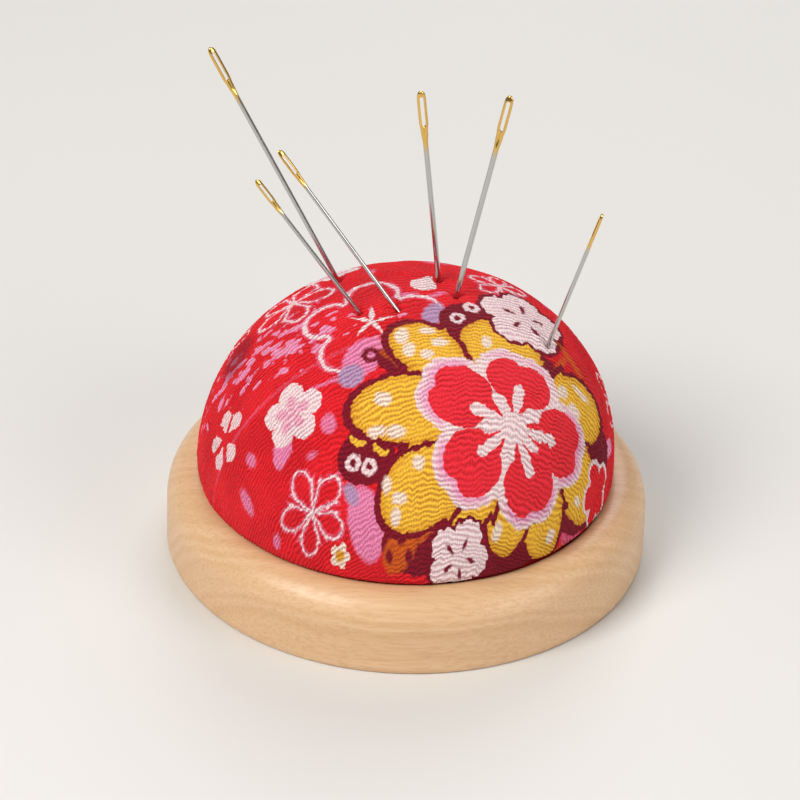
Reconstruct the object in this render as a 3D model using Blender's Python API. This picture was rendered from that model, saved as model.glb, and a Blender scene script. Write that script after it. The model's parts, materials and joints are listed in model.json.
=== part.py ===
"""Pin cushion: a turned wooden base that holds a stuffed cloth dome with six sewing needles in it.

Units are metres, +Z is up, and the origin is the centre of the base's underside. The front faces -Y.
"""

import math

import bmesh
import bpy
from mathutils import Matrix, Vector

# Wooden base
BASE_RADIUS = 0.040
BASE_HEIGHT = 0.0135
RIM_ROUND_WIDTH = 0.0050
RIM_ROUND_HEIGHT = 0.0054
FOOT_BEVEL = 0.0005
SEAT_RADIUS = 0.0335
SEAT_LIP = 0.0008
SEAT_FLOOR = 0.0055

# Gap that neighbouring pieces keep
GAP = 0.0003

# Cloth dome, a superellipse turned about a line that leans slightly to +X
DOME_RADIUS = 0.0346
DOME_TOP = 0.0465
DOME_WAIST = 0.0155
DOME_FULLNESS = 2.15
DOME_OFFSET = -0.0005
DOME_LEAN = 0.0015
CLOTH = 0.0008
NECK_RADIUS = 0.0326
HEM_ROUND = 0.0028
HEM_HOLE_RADIUS = 0.0092

# Tuck where the cloth turns in over the rim. Each pair is the distance from the waist's or the neck's
# radius and the height above the shoulder.
TUCK_TOP = (0.0002, 0.0014)
TUCK_TURN = (0.0009, 0.0006)
TUCK_SHOULDER = (0.0002, 0.0)
TUCK_NECK = (0.0, -0.0006)

# Pieces under the dome
GLUE_RADIUS = 0.026
GLUE_THICKNESS = 0.0016
GLUE_EDGE = 0.0005
CARD_RADIUS = 0.0303
CARD_THICKNESS = 0.0012
CARD_EDGE = 0.0001
FILLING_EDGE = 0.0010
THREAD_RADIUS = 0.0003
THREAD_RING_RADIUS = 0.0085
KNOT_RADIUS = 0.0004

# Heights that follow from the stack
GLUE_BOTTOM = SEAT_FLOOR + GAP
HEM_BOTTOM = GLUE_BOTTOM + GLUE_THICKNESS + GAP
CARD_BOTTOM = HEM_BOTTOM + CLOTH + GAP
FILLING_BOTTOM = CARD_BOTTOM + CARD_THICKNESS + GAP
THREAD_HEIGHT = (HEM_BOTTOM - GAP + CARD_BOTTOM) / 2

# Needles. place is the point in plan where the shaft enters the cloth. tilt is from the vertical, towards
# azimuth, and spin turns the eye about the shaft, in degrees. out and held are the lengths outside and
# inside the cushion, push is how much further the needle can be pushed in, and eye is the slot's length.
NEEDLES = (
    {"name": "needle_1", "place": (-0.01247, 0.01012), "tilt": 27.3, "azimuth": 175.1, "spin": 40,
     "out": 0.0473, "held": 0.0147, "push": 0.020, "shaft": 0.00080, "eye_width": 0.00140, "eye": 0.0055},
    {"name": "needle_2", "place": (-0.00876, -0.00301), "tilt": 34.3, "azimuth": 183.9, "spin": 32,
     "out": 0.0302, "held": 0.0118, "push": 0.020, "shaft": 0.00068, "eye_width": 0.00110, "eye": 0.0038},
    {"name": "needle_3", "place": (-0.00267, -0.00307), "tilt": 37.7, "azimuth": 166.1, "spin": 46,
     "out": 0.0332, "held": 0.0118, "push": 0.022, "shaft": 0.00070, "eye_width": 0.00115, "eye": 0.0039},
    {"name": "needle_4", "place": (0.00407, 0.00740), "tilt": 6.5, "azimuth": 183.9, "spin": 5,
     "out": 0.0357, "held": 0.0143, "push": 0.018, "shaft": 0.00086, "eye_width": 0.00150, "eye": 0.0056},
    {"name": "needle_5", "place": (0.00701, 0.00225), "tilt": 13.2, "azimuth": 26.5, "spin": 137,
     "out": 0.0365, "held": 0.0145, "push": 0.018, "shaft": 0.00090, "eye_width": 0.00150, "eye": 0.0054},
    {"name": "needle_6", "place": (0.02227, -0.00308), "tilt": 17.6, "azimuth": 8.6, "spin": 86,
     "out": 0.0256, "held": 0.0124, "push": 0.016, "shaft": 0.00070, "eye_width": 0.00105, "eye": 0.0035},
)
EYE_THICKNESS = 0.85
EYE_TOP_WALL = 0.0010
SLOT_SHARE = 0.42
EYE_NECK = 0.0030
POINT_TAPER = 0.0060
POINT_TIP = 0.00005
CHANNEL_CLEARANCE = 0.0003
CHANNEL_END = 0.0010
CHANNEL_ABOVE = 0.0060

# Facets
TURNED_SIDES = 60
THREAD_RING_SIDES = 36
THREAD_SIDES = 8
NEEDLE_SIDES = 10
CHANNEL_SIDES = 12
DOME_STEPS = 12
LINING_STEPS = 9
RIM_STEPS = 7
SLOT_STEPS = 4
CORNER_STEPS = 3
FOOT_STEPS = 2
SHARP_ANGLE = 35
HEIGHT_ROUNDS = 20


def clear_scene():
    """Removes every object, so that the model starts from an empty scene."""
    for ob in list(bpy.data.objects):
        bpy.data.objects.remove(ob)


def material(name, colour, roughness, metallic=0.0):
    """A Principled material with one colour."""
    mat = bpy.data.materials.new(name)
    mat.use_nodes = True
    shader = mat.node_tree.nodes["Principled BSDF"]
    shader.inputs["Base Color"].default_value = (*colour, 1.0)
    shader.inputs["Roughness"].default_value = roughness
    shader.inputs["Metallic"].default_value = metallic
    return mat


def add_object(name, bm, mat):
    """Turns a bmesh into a named object with its faces out and its round sides smooth."""
    bmesh.ops.recalc_face_normals(bm, faces=bm.faces)
    mesh = bpy.data.meshes.new(name)
    bm.to_mesh(mesh)
    bm.free()
    mesh.shade_smooth()
    mesh.set_sharp_from_angle(angle=math.radians(SHARP_ANGLE))
    mesh.materials.append(mat)
    ob = bpy.data.objects.new(name, mesh)
    bpy.context.scene.collection.objects.link(ob)
    return ob


def arc(centre_r, centre_z, width, height, start, end, steps):
    """Points (r, z) along an elliptical arc between two angles in degrees."""
    points = []
    for i in range(steps + 1):
        angle = math.radians(start + (end - start) * i / steps)
        points.append((centre_r + width * math.cos(angle), centre_z + height * math.sin(angle)))
    return points


def turned(profile, closed=False, sides=TURNED_SIDES):
    """A bmesh of the (r, z) profile spun round Z. A closed profile is a ring's section."""
    bm = bmesh.new()
    verts = [bm.verts.new((r, 0.0, z)) for r, z in profile]
    pairs = list(zip(verts, verts[1:]))
    if closed:
        pairs.append((verts[-1], verts[0]))
    edges = [bm.edges.new(pair) for pair in pairs]
    bmesh.ops.spin(bm, geom=verts + edges, cent=(0, 0, 0), axis=(0, 0, 1), angle=math.tau,
                   steps=sides, use_duplicate=False)
    bmesh.ops.remove_doubles(bm, verts=bm.verts, dist=1e-6)
    return bm


def lean(z):
    """How far the dome's own axis stands from the base's axis at height z."""
    share = max(z - BASE_HEIGHT, 0.0) / (DOME_TOP - BASE_HEIGHT)
    return DOME_OFFSET + DOME_LEAN * share


def apply_lean(bm):
    """Shifts each point sideways by the lean at its height."""
    for v in bm.verts:
        v.co.x += lean(v.co.z)


def dome_curve(inset, steps):
    """Points (r, z) from the top of the dome to its waist, inset from the cloth's outer face."""
    points = []
    for i in range(steps + 1):
        angle = math.radians(90.0 * (1 - i / steps))
        across = max(math.cos(angle), 0.0) ** (2 / DOME_FULLNESS)
        up = math.sin(angle) ** (2 / DOME_FULLNESS)
        r = (DOME_RADIUS - inset) * across
        z = DOME_WAIST + (DOME_TOP - DOME_WAIST - inset) * up
        points.append((0.0 if i == 0 else r, z))
    return points


def dome_height(x, y):
    """Height of the cloth's outer face over a point in plan, found by a few rounds of substitution."""
    z = DOME_TOP
    for _ in range(HEIGHT_ROUNDS):
        share = math.hypot(x - lean(z), y) / DOME_RADIUS
        z = DOME_WAIST + (DOME_TOP - DOME_WAIST) * (1 - share**DOME_FULLNESS) ** (1 / DOME_FULLNESS)
    return z


def cushion_side(inset, bottom):
    """Points (r, z) from the dome's waist, in over the rim and down the seat to the underside."""
    neck = NECK_RADIUS - inset
    waist = DOME_RADIUS - inset
    shoulder = BASE_HEIGHT + GAP + inset / 2
    tuck = [
        (waist - TUCK_TOP[0], shoulder + TUCK_TOP[1]),
        (waist - TUCK_TURN[0], shoulder + TUCK_TURN[1]),
        (neck + TUCK_SHOULDER[0], shoulder + TUCK_SHOULDER[1]),
        (neck + TUCK_NECK[0], shoulder + TUCK_NECK[1]),
    ]
    corner = HEM_ROUND - inset
    return tuck + arc(neck - corner, bottom + corner, corner, corner, 0, -90, CORNER_STEPS)


def wooden_base(mat):
    """Turned base: straight wall, broad round-over, and a flat-floored seat for the cushion."""
    wall_top = BASE_HEIGHT - RIM_ROUND_HEIGHT
    foot = arc(BASE_RADIUS - FOOT_BEVEL, FOOT_BEVEL, FOOT_BEVEL, FOOT_BEVEL, -90, 0, FOOT_STEPS)
    rim = arc(BASE_RADIUS - RIM_ROUND_WIDTH, wall_top, RIM_ROUND_WIDTH, RIM_ROUND_HEIGHT, 0, 90, RIM_STEPS)
    lip = arc(SEAT_RADIUS + SEAT_LIP, BASE_HEIGHT - SEAT_LIP, SEAT_LIP, SEAT_LIP, 90, 180, CORNER_STEPS)
    profile = [(0.0, 0.0)] + foot + rim + lip + [(SEAT_RADIUS, SEAT_FLOOR), (0.0, SEAT_FLOOR)]
    return add_object("wooden_base", turned(profile), mat)


def disc(name, radius, bottom, thickness, edge, mat):
    """A flat disc with softened edges, centred under the dome."""
    top = bottom + thickness
    profile = [(0.0, bottom), (radius - edge, bottom), (radius, bottom + edge),
               (radius, top - edge), (radius - edge, top), (0.0, top)]
    ob = add_object(name, turned(profile), mat)
    ob.location.x = DOME_OFFSET
    return ob


def cushion_cover(mat):
    """Cloth shell: a dome gathered under the card, open where the hem is drawn together."""
    outer = dome_curve(0.0, DOME_STEPS) + cushion_side(0.0, HEM_BOTTOM) + [(HEM_HOLE_RADIUS, HEM_BOTTOM)]
    inner = dome_curve(CLOTH, LINING_STEPS) + cushion_side(CLOTH, HEM_BOTTOM + CLOTH)
    inner.append((HEM_HOLE_RADIUS, HEM_BOTTOM + CLOTH))
    bm = turned(outer + inner[::-1])
    apply_lean(bm)
    return add_object("cushion_cover", bm, mat)


def cushion_filling(mat):
    """Wadding that fills the cover down to the card."""
    inset = CLOTH + GAP
    neck = NECK_RADIUS - inset
    top_of_edge = FILLING_BOTTOM + FILLING_EDGE
    side = [point for point in cushion_side(inset, HEM_BOTTOM + inset) if point[1] > top_of_edge]
    foot = arc(neck - FILLING_EDGE, top_of_edge, FILLING_EDGE, FILLING_EDGE, 0, -90, FOOT_STEPS)
    bm = turned(dome_curve(inset, LINING_STEPS) + side + foot + [(0.0, FILLING_BOTTOM)])
    apply_lean(bm)
    return add_object("cushion_filling", bm, mat)


def gathering_thread(mat):
    """Running thread drawn up round the hem's opening, with its knot."""
    section = arc(THREAD_RING_RADIUS, THREAD_HEIGHT, THREAD_RADIUS, THREAD_RADIUS, 0, 360, THREAD_SIDES)
    ring = add_object("gathering_thread", turned(section[:-1], True, THREAD_RING_SIDES), mat)
    bm = bmesh.new()
    bmesh.ops.create_icosphere(bm, subdivisions=2, radius=KNOT_RADIUS)
    knot = add_object("thread_knot_guide", bm, mat)
    knot.location = (0.0, -THREAD_RING_RADIUS, THREAD_HEIGHT)
    knot.hide_render = True
    knot.display_type = "WIRE"
    join = ring.modifiers.new("knot", "BOOLEAN")
    join.operation = "UNION"
    join.solver = "EXACT"
    join.object = knot
    ring.location.x = DOME_OFFSET
    knot.parent = ring
    return ring


def needle_frame(needle):
    """Matrix whose origin is where the shaft enters the cloth and whose +Z points out along it."""
    x, y = needle["place"]
    turn = Matrix.Rotation(math.radians(needle["azimuth"]), 4, "Z")
    tip_over = Matrix.Rotation(math.radians(needle["tilt"]), 4, "Y")
    spin = Matrix.Rotation(math.radians(needle["spin"]), 4, "Z")
    return Matrix.Translation((x, y, dome_height(x, y))) @ turn @ tip_over @ spin


def needle_rings(needle):
    """Heights and half sizes (z, across, through) of the needle's sections, point to eye."""
    shaft = needle["shaft"] / 2
    across = needle["eye_width"] / 2
    through = shaft * EYE_THICKNESS
    top = needle["out"]
    point = -needle["held"]
    slot_bottom = top - EYE_TOP_WALL - needle["eye"]
    return [
        (point, POINT_TIP, POINT_TIP),
        (point + POINT_TAPER * 0.45, shaft * 0.62, shaft * 0.62),
        (point + POINT_TAPER, shaft, shaft),
        (slot_bottom - EYE_NECK, shaft, shaft),
        (slot_bottom - EYE_NECK * 0.35, (shaft + across) / 2, through),
        (slot_bottom + needle["eye"] * 0.15, across, through),
        (slot_bottom + needle["eye"] * 0.60, across, through),
        (top - across * 1.4, across * 0.94, through * 0.95),
        (top - across * 0.5, across * 0.68, through * 0.80),
        (top, across * 0.22, through * 0.40),
    ]


def slot_cutter(needle, mat):
    """Long round-ended prism that cuts the eye."""
    half_width = needle["eye_width"] * SLOT_SHARE / 2
    top = needle["out"] - EYE_TOP_WALL - half_width
    bottom = needle["out"] - EYE_TOP_WALL - needle["eye"] + half_width
    outline = []
    for centre, start in ((top, 0), (bottom, 180)):
        outline += arc(0.0, centre, half_width, half_width, start, start + 180, SLOT_STEPS)
    bm = bmesh.new()
    face = bm.faces.new([bm.verts.new((x, -needle["shaft"], z)) for x, z in outline])
    grown = bmesh.ops.extrude_face_region(bm, geom=[face])
    moved = [v for v in grown["geom"] if isinstance(v, bmesh.types.BMVert)]
    bmesh.ops.translate(bm, verts=moved, vec=Vector((0, 2 * needle["shaft"], 0)))
    cutter = add_object(needle["name"] + "_slot_cutter", bm, mat)
    cutter.hide_render = True
    cutter.display_type = "WIRE"
    return cutter


def sewing_needle(needle, mat):
    """One needle: a steel shaft with a ground point and a flattened, slotted eye."""
    bm = bmesh.new()
    rings = []
    for z, across, through in needle_rings(needle):
        ring = []
        for i in range(NEEDLE_SIDES):
            angle = math.tau * i / NEEDLE_SIDES
            ring.append(bm.verts.new((across * math.cos(angle), through * math.sin(angle), z)))
        rings.append(ring)
    for low, high in zip(rings, rings[1:]):
        for i in range(NEEDLE_SIDES):
            j = (i + 1) % NEEDLE_SIDES
            bm.faces.new((low[i], low[j], high[j], high[i]))
    bm.faces.new(rings[0][::-1])
    bm.faces.new(rings[-1])
    ob = add_object(needle["name"], bm, mat)
    cutter = slot_cutter(needle, mat)
    cutter.parent = ob
    cut = ob.modifiers.new("eye", "BOOLEAN")
    cut.operation = "DIFFERENCE"
    cut.solver = "EXACT"
    cut.object = cutter
    place = needle_frame(needle)
    ob.location = place.to_translation()
    ob.rotation_euler = place.to_euler()
    return ob


def needle_channels(mat):
    """Cutter for the holes that the needles make: a rod along each needle's path."""
    bm = bmesh.new()
    for needle in NEEDLES:
        radius = needle["shaft"] / 2 + CHANNEL_CLEARANCE
        deep = needle["held"] + needle["push"] + CHANNEL_END
        length = deep + CHANNEL_ABOVE
        middle = Matrix.Translation((0, 0, CHANNEL_ABOVE - length / 2))
        bmesh.ops.create_cone(bm, cap_ends=True, segments=CHANNEL_SIDES, radius1=radius, radius2=radius,
                              depth=length, matrix=needle_frame(needle) @ middle)
    cutter = add_object("needle_channels_cutter", bm, mat)
    cutter.hide_render = True
    cutter.display_type = "WIRE"
    return cutter


def cut_channels(ob, cutter):
    """Opens the needles' channels in a soft piece."""
    cut = ob.modifiers.new("channels", "BOOLEAN")
    cut.operation = "DIFFERENCE"
    cut.solver = "EXACT"
    cut.object = cutter


def build():
    """Makes every piece."""
    clear_scene()
    wood = material("wood", (0.69, 0.43, 0.22), 0.45)
    glue = material("glue", (0.80, 0.74, 0.58), 0.35)
    card = material("card", (0.46, 0.36, 0.25), 0.85)
    wadding = material("wadding", (0.86, 0.86, 0.84), 0.95)
    cloth = material("cloth", (0.62, 0.02, 0.03), 0.85)
    thread = material("thread", (0.55, 0.04, 0.05), 0.80)
    steel = material("steel", (0.80, 0.80, 0.80), 0.20, 1.0)
    wooden_base(wood)
    disc("glue_pad", GLUE_RADIUS, GLUE_BOTTOM, GLUE_THICKNESS, GLUE_EDGE, glue)
    disc("backing_card", CARD_RADIUS, CARD_BOTTOM, CARD_THICKNESS, CARD_EDGE, card)
    gathering_thread(thread)
    channels = needle_channels(steel)
    cut_channels(cushion_cover(cloth), channels)
    cut_channels(cushion_filling(wadding), channels)
    for needle in NEEDLES:
        sewing_needle(needle, steel)


build()
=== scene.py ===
"""Looks of the pin cushion: a printed crepe dome, a turned wooden base and gold-eyed needles.

Lengths are metres. The cloth's print and weave are drawn in millimetres of flat cloth.
"""

import json
import math

import bmesh
import bpy
import numpy as np
from mathutils import Matrix, Vector


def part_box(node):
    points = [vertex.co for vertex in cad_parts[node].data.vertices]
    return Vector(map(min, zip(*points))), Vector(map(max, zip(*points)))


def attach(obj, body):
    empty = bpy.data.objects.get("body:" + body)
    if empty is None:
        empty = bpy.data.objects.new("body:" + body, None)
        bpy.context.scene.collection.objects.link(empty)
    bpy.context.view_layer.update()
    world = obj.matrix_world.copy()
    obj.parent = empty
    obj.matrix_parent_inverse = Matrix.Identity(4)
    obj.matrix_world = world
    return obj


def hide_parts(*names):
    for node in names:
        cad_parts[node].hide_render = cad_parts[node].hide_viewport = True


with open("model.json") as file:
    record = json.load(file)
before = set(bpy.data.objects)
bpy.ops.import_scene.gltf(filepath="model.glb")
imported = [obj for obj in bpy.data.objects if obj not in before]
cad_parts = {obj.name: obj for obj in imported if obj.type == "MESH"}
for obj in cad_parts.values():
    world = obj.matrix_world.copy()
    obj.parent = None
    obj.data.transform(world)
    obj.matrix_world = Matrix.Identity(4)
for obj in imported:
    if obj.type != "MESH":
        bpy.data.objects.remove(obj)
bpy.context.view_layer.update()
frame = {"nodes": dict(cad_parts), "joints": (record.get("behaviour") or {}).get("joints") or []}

MM = 0.001
TINY = 1e-5
NEEDLE_NAMES = ["needle_1", "needle_2", "needle_3", "needle_4", "needle_5", "needle_6"]

# Cloth dome
DOME_FULLNESS = 2.15
DOME_STEPS = 400
CLOTH_THICKNESS = 0.8 * MM
FINE_STEP = 0.31 * MM
COARSE_STEP = 1.3 * MM
STEP_GROWTH = 1.16
TUCK_LENGTH = 3.2 * MM
TUCK_FULLNESS = 3.6
CREPE_PITCH = 0.92
PRINT_REPEAT = 40.0
CREPE_HEIGHT = 0.10 * MM
STITCH_LENGTH = 0.5
HEM_FOLDS = 44
HEM_FOLD_HEIGHT = 0.18 * MM
HOLE_CLEARANCE = 0.06 * MM
DIMPLE_DEPTH = 0.55 * MM
DIMPLE_WIDTH = 1.0 * MM

# Cloth simulation
SIM_SCALE = 10.0
SIM_COLUMNS = 144
SIM_ROWS = 34
SIM_FRAMES = 20
SIM_PRESSURE = 4.0
SIM_SLACK = -0.05
SIM_SLACK_REACH = 14 * MM
SIM_CAP = 0.8 * MM
CLOTH_SETTINGS = {
    "quality": 6,
    "mass": 0.2,
    "tension_stiffness": 25.0,
    "compression_stiffness": 25.0,
    "shear_stiffness": 8.0,
    "bending_stiffness": 0.25,
    "use_pressure": True,
    "uniform_pressure_force": SIM_PRESSURE,
    "vertex_group_mass": "pinned",
    "vertex_group_shrink": "slack",
    "shrink_min": 0.0,
    "shrink_max": SIM_SLACK,
}

# Needles
NEEDLE_SIDES = 40
SLOT_SHARE = 0.42
NEEDLE_FLAT = 0.85
EYE_ROUND = 0.06 * MM
SHARP_ANGLE = math.radians(40)
GOLD_SHARE = 1.95
POINT_LENGTH = 6.0 * MM
NECK_LOW = 3.2 * MM
NECK_HIGH = 0.8 * MM
HEAD_LOW = 1.4 * MM
GROOVE_DEPTH = 0.38
GROOVE_WIDTH = 0.13 * MM

# Base, wadding, glue and floor
BASE_SIDES = 240
WADDING_SIDES = 160
GLUE_SIDES = 72
FLOOR_SIZE = 6.0

# Thread
PLY_RADIUS = 0.17 * MM
PLY_OFFSET = 0.13 * MM
PLY_TURNS = 45
PLY_STEPS = 540
KNOT_STEPS = 90

# Camera
CAMERA_TARGET = Vector((-1.61, 0.0, 26.85)) * MM
CAMERA_DISTANCE = 0.8
CAMERA_ELEVATION = 32.86
CAMERA_ROLL = 1.92
CAMERA_LENS = 217.9


def linear(red, green, blue):
    """A screen colour from 0 to 255 as the renderer's linear RGBA."""
    channels = []
    for value in (red, green, blue):
        share = value / 255
        channels.append(share / 12.92 if share <= 0.04045 else ((share + 0.055) / 1.055) ** 2.4)
    return (*channels, 1.0)


# ---------------------------------------------------------------- numbers and meshes


def smooth(share):
    """Eases a value between 0 and 1."""
    share = np.clip(share, 0.0, 1.0)
    return share * share * (3 - 2 * share)


def lattice_noise(x, y, seed):
    """Smooth noise from -1 to 1 that changes over about one unit of x and y."""
    size = 256
    table = np.random.default_rng(seed).uniform(-1.0, 1.0, (size, size))
    column = np.floor(x).astype(int)
    row = np.floor(y).astype(int)
    across = smooth(x - column)
    up = smooth(y - row)
    low = table[column % size, row % size] * (1 - across) + table[(column + 1) % size, row % size] * across
    row = row + 1
    high = table[column % size, row % size] * (1 - across) + table[(column + 1) % size, row % size] * across
    return low * (1 - up) + high * up


def node_points(node):
    """A CAD node's vertices as an array."""
    return np.array([v.co for v in frame["nodes"][node].data.vertices])


def mesh_points(mesh):
    """A mesh's vertices as an array."""
    points = np.zeros(len(mesh.vertices) * 3, np.float32)
    mesh.vertices.foreach_get("co", points)
    return points.reshape(-1, 3)


def add_object(name, data):
    """A new object in the scene."""
    made = bpy.data.objects.new(name, data)
    bpy.context.scene.collection.objects.link(made)
    return made


def add_piece(name, mesh, material, body):
    """Links a mesh as a piece that rides on a body and takes its finish from a material slot."""
    mesh.shade_smooth()
    mesh.materials.clear()
    mesh.materials.append(material)
    piece = add_object(name, mesh)
    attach(piece, body)
    return piece


def mesh_from(bm, name):
    """Turns a bmesh into a mesh."""
    mesh = bpy.data.meshes.new(name)
    bm.to_mesh(mesh)
    bm.free()
    return mesh


def cut(mesh, cutter_mesh):
    """A closed mesh with another one cut out of it."""
    piece = add_object("whole", mesh)
    cutter = add_object("cutter", cutter_mesh)
    step = piece.modifiers.new("cut", "BOOLEAN")
    step.operation = "DIFFERENCE"
    step.solver = "EXACT"
    step.object = cutter
    evaluated = piece.evaluated_get(bpy.context.evaluated_depsgraph_get())
    result = bpy.data.meshes.new_from_object(evaluated)
    bpy.data.objects.remove(piece)
    bpy.data.objects.remove(cutter)
    return result


def store_uv(mesh, name, per_vertex):
    """Keeps two values per vertex in a UV map, which cuts in the mesh carry over."""
    layer = mesh.uv_layers.new(name=name)
    corners = np.zeros(len(mesh.loops), np.int32)
    mesh.loops.foreach_get("vertex_index", corners)
    layer.data.foreach_set("uv", per_vertex[corners].astype(np.float32).ravel())


def stitch(first, second):
    """Triangles between two rings of evenly spaced vertices, each given as (start, count)."""
    (start_a, count_a), (start_b, count_b) = first, second
    faces = []
    a = b = 0
    while a < count_a or b < count_b:
        here = (start_a + a % count_a, start_b + b % count_b)
        if count_a > 1 and (b >= count_b or (a < count_a and (a + 1) * count_b <= (b + 1) * count_a)):
            a += 1
            faces.append((*here, start_a + a % count_a))
        elif b < count_b and count_b > 1:
            b += 1
            faces.append((*here, start_b + b % count_b))
        else:
            break
    return faces


def ring_mesh(name, counts, coordinates):
    """A closed mesh of rings of vertices, one after another, whose counts may differ."""
    starts = np.concatenate([[0], np.cumsum(counts)]).astype(int).tolist()
    faces = []
    for i in range(len(counts) - 1):
        faces += stitch((starts[i], counts[i]), (starts[i + 1], counts[i + 1]))
    mesh = bpy.data.meshes.new(name)
    mesh.from_pydata(coordinates.tolist(), [], faces)
    mesh.validate()
    bm = bmesh.new()
    bm.from_mesh(mesh)
    bmesh.ops.recalc_face_normals(bm, faces=bm.faces)
    bm.to_mesh(mesh)
    bm.free()
    return mesh


def spun(profile, turns):
    """Points (x, y, z) of (r, z) rings at given turns round the Z axis."""
    return np.concatenate([
        np.stack([r * np.cos(turn), r * np.sin(turn), np.full(len(turn), z)], axis=1)
        for (r, z), turn in zip(profile, turns)
    ])


def even_turns(count):
    """Evenly spaced turns round a ring."""
    return np.arange(count) * math.tau / count


def turned_mesh(name, profile, sides):
    """A mesh of an (r, z) profile that starts and ends on the Z axis, spun round it."""
    counts = [1 if r < TINY else sides for r, _ in profile]
    return ring_mesh(name, counts, spun(profile, [even_turns(count) for count in counts]))


def arc(centre_r, centre_z, width, height, start, end, steps):
    """Points (r, z) along an elliptical arc between two angles in degrees."""
    points = []
    for i in range(steps + 1):
        angle = math.radians(start + (end - start) * i / steps)
        points.append((centre_r + width * math.cos(angle), centre_z + height * math.sin(angle)))
    return points


def walked_length(path):
    """Distance walked along a path at each of its points."""
    return np.concatenate([[0.0], np.cumsum(np.linalg.norm(np.diff(path, axis=0), axis=1))])


def at_distance(path, walked, at):
    """Points (r, z) at given distances along a path."""
    return np.stack([np.interp(at, walked, path[:, 0]), np.interp(at, walked, path[:, 1])], axis=1)


def even_path(points, step):
    """Points at about equal distances along a polyline of (r, z) points."""
    points = np.array(points)
    walked = walked_length(points)
    count = max(2, round(walked[-1] / step) + 1)
    return at_distance(points, walked, np.linspace(0.0, walked[-1], count)).tolist()


# ---------------------------------------------------------------- shader nodes


class Nodes:
    """Short ways to add nodes to one tree and link them."""

    def __init__(self, tree):
        self.tree = tree

    def add(self, kind, **settings):
        node = self.tree.nodes.new(kind)
        for key, value in settings.items():
            setattr(node, key, value)
        return node

    def plug(self, socket, value):
        if isinstance(value, bpy.types.NodeSocket):
            self.tree.links.new(value, socket)
        else:
            socket.default_value = value

    def math(self, operation, a, b=0.0, c=0.0):
        node = self.add("ShaderNodeMath", operation=operation)
        for socket, value in zip(node.inputs, (a, b, c)):
            self.plug(socket, value)
        return node.outputs[0]

    def vector(self, operation, a, b=(0.0, 0.0, 0.0), c=(0.0, 0.0, 0.0)):
        node = self.add("ShaderNodeVectorMath", operation=operation)
        for socket, value in zip(node.inputs, (a, b, c)):
            self.plug(socket, value)
        single = operation in ("DOT_PRODUCT", "DISTANCE", "LENGTH")
        return node.outputs["Value" if single else "Vector"]

    def mix(self, factor, a, b, blend="MIX"):
        node = self.add("ShaderNodeMix", data_type="RGBA", blend_type=blend)
        self.plug(node.inputs["Factor"], factor)
        self.plug(node.inputs[6], a)
        self.plug(node.inputs[7], b)
        return node.outputs[2]

    def span(self, value, low, high, to_low=0.0, to_high=1.0):
        """Eases a value's range into another. Smoothstep needs no clamp of its own."""
        node = self.add("ShaderNodeMapRange", interpolation_type="SMOOTHSTEP", clamp=False)
        for socket, number in zip(node.inputs, (value, low, high, to_low, to_high)):
            self.plug(socket, number)
        return node.outputs[0]

    def placed(self, point, turn=0.0, size=(1, 1, 1)):
        """The point in a local frame, turned about Z in degrees and divided by size."""
        node = self.add("ShaderNodeMapping", vector_type="TEXTURE")
        self.plug(node.inputs["Vector"], point)
        node.inputs["Rotation"].default_value = (0.0, 0.0, math.radians(turn))
        node.inputs["Scale"].default_value = size
        return node.outputs[0]

    def noise(self, point, scale, detail=2.0, roughness=0.5, distortion=0.0, colour=False):
        node = self.add("ShaderNodeTexNoise")
        self.plug(node.inputs["Vector"], point)
        values = {"Scale": scale, "Detail": detail, "Roughness": roughness, "Distortion": distortion}
        for name, value in values.items():
            node.inputs[name].default_value = value
        return node.outputs["Color" if colour else "Fac"]

    def parts(self, point):
        node = self.add("ShaderNodeSeparateXYZ")
        self.plug(node.inputs[0], point)
        return node.outputs

    def joined(self, x, y, z=0.0):
        node = self.add("ShaderNodeCombineXYZ")
        for socket, value in zip(node.inputs, (x, y, z)):
            self.plug(socket, value)
        return node.outputs[0]

    def uv(self, name):
        return self.add("ShaderNodeUVMap", uv_map=name).outputs[0]

    def millimetres(self):
        """The point on the object in millimetres."""
        where = self.add("ShaderNodeTexCoord").outputs["Object"]
        return self.vector("MULTIPLY", where, (1 / MM, 1 / MM, 1 / MM))

    def bump(self, height, depth):
        """A bump whose height, from 0 to 1, stands depth metres proud."""
        node = self.add("ShaderNodeBump")
        node.inputs["Strength"].default_value = 1.0
        node.inputs["Distance"].default_value = depth
        self.plug(node.inputs["Height"], height)
        return node.outputs[0]


class Shader(Nodes):
    """A material's own nodes."""

    def __init__(self, name):
        self.material = bpy.data.materials.new(name)
        self.material.use_nodes = True
        super().__init__(self.material.node_tree)
        self.principled = self.tree.nodes["Principled BSDF"]

    def finish(self, colour, roughness, normal=None, **uniform):
        """Sets the shader's sockets. The uniform ones are plain numbers or colours."""
        self.plug(self.principled.inputs["Base Color"], colour)
        self.plug(self.principled.inputs["Roughness"], roughness)
        if normal is not None:
            self.plug(self.principled.inputs["Normal"], normal)
        for name, value in uniform.items():
            self.principled.inputs[name.replace("_", " ")].default_value = value
        return self.material


# ---------------------------------------------------------------- the cloth's print

RED = linear(246, 34, 46)
DEEP_RED = linear(206, 22, 36)
PETAL_RED = linear(248, 50, 64)
YELLOW = linear(255, 206, 64)
DEEP_YELLOW = linear(236, 172, 44)
MAROON = linear(134, 18, 42)
ORANGE = linear(222, 104, 30)
WHITE = linear(255, 238, 238)
CREAM = linear(255, 244, 222)
PINK = linear(246, 146, 190)
HOT_PINK = linear(238, 100, 142)
MAUVE = linear(250, 172, 212)
LAVENDER = linear(192, 160, 200)
SHADOW_RED = linear(140, 20, 40)

# A drop's end circle, as a share of the distance from its point to that circle's centre
DROP_BULGE = 0.545
# Lobes of a blossom
LOBES = 5


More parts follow.
